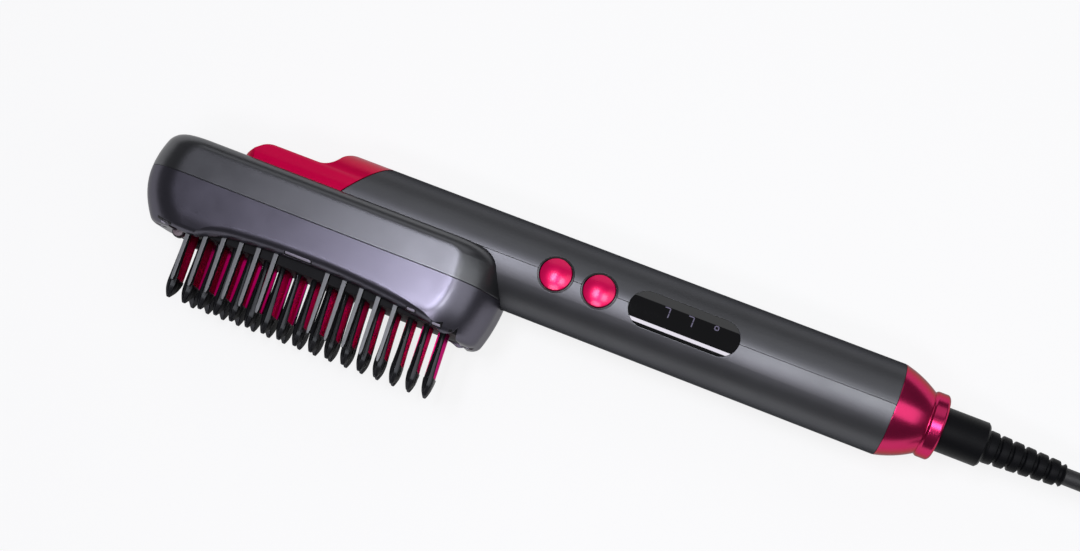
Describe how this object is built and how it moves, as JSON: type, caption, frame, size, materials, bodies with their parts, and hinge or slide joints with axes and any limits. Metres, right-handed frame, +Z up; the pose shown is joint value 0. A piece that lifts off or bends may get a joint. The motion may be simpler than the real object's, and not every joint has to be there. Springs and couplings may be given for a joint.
{
  "type": "steam hair straightener brush",
  "caption": "Steam hair straightener brush: round handle with buttons and display, heated comb head with guard teeth, slide-off water tank, swivelling cord with plug.",
  "frame": {"origin": "centre of the brush's bounding box, from head tip to the end of the cord sleeve, at the level of the table under the side of the head", "axes": "+X along the handle from the head's tip towards the cord, +Y from the teeth towards the water tank, +Z up, the way the buttons and display face"},
  "size_m": [0.5428, 0.1179, 0.0538],
  "materials": {
    "shell_grey": "metallic grey, satin",
    "tank_magenta": "metallic magenta, satin",
    "comb_magenta": "magenta anodised",
    "black_plastic": "matt",
    "teeth_black": "satin",
    "outlet_lavender": "satin",
    "display_gloss": "gloss",
    "button_magenta": "satin",
    "aluminium": "as cast",
    "ceramic": "matt",
    "steel": "brushed",
    "brass": "plain",
    "silicone": "matt",
    "rubber_black": "matt",
    "board_green": "satin",
    "white_plastic": "matt"
  },
  "bodies": {
    "brush": {"head_housing": "shell_grey", "head_skirt": "shell_grey", "steam_outlets": "outlet_lavender", "head_screws": "steel", "heated_comb": "comb_magenta", "teeth_edges": "teeth_black", "comb_frame": "teeth_black", "ceramic_heaters": "ceramic", "steam_chamber": "aluminium", "chamber_lid": "aluminium", "thermal_fuse": "steel", "back_shell": "shell_grey", "front_shell": "shell_grey", "dock_plate": "black_plastic", "water_pump": "black_plastic", "feed_hose": "silicone", "boiler_hose": "silicone", "control_board": "board_green", "tact_switches": "black_plastic", "button_bezels": "black_plastic", "display_window": "display_gloss", "display_module": "white_plastic", "mains_board": "board_green", "filter_capacitor": "black_plastic", "rear_cap": "tank_magenta", "swivel_ring": "white_plastic", "contact_carrier": "white_plastic", "contact_pins": "brass", "power_cord": "rubber_black", "cord_coil": "rubber_black", "cord_tie": "black_plastic", "plug_body": "rubber_black", "plug_pins": "brass"},
    "power_button_body": {"power_button": "button_magenta"},
    "mode_button_body": {"mode_button": "button_magenta"},
    "tank": {"water_tank": "tank_magenta", "tank_seal": "silicone"},
    "plug": {"filler_plug": "rubber_black"},
    "sleeve": {"cord_sleeve": "rubber_black"}
  },
  "joints": [
    {"name": "power_button_press", "type": "slide", "parent": "brush", "child": "power_button_body", "axis": [0, 0, -1], "range_m": [0, 0.0008], "stiffness_N_per_m": 1500},
    {"name": "mode_button_press", "type": "slide", "parent": "brush", "child": "mode_button_body", "axis": [0, 0, -1], "range_m": [0, 0.0008], "stiffness_N_per_m": 1500},
    {"name": "tank_release", "type": "slide", "parent": "brush", "child": "tank", "axis": [-1, 0, 0], "range_m": [0, 0.04]},
    {"name": "plug_lift", "type": "slide", "parent": "tank", "child": "plug", "axis": [0, 1, 0], "range_m": [0, 0.01]},
    {"name": "cord_swivel", "type": "hinge", "parent": "brush", "child": "sleeve", "pos_m": [0.1337, 0.022, 0.0269], "axis": [1, 0, 0], "continuous": true}
  ]
}
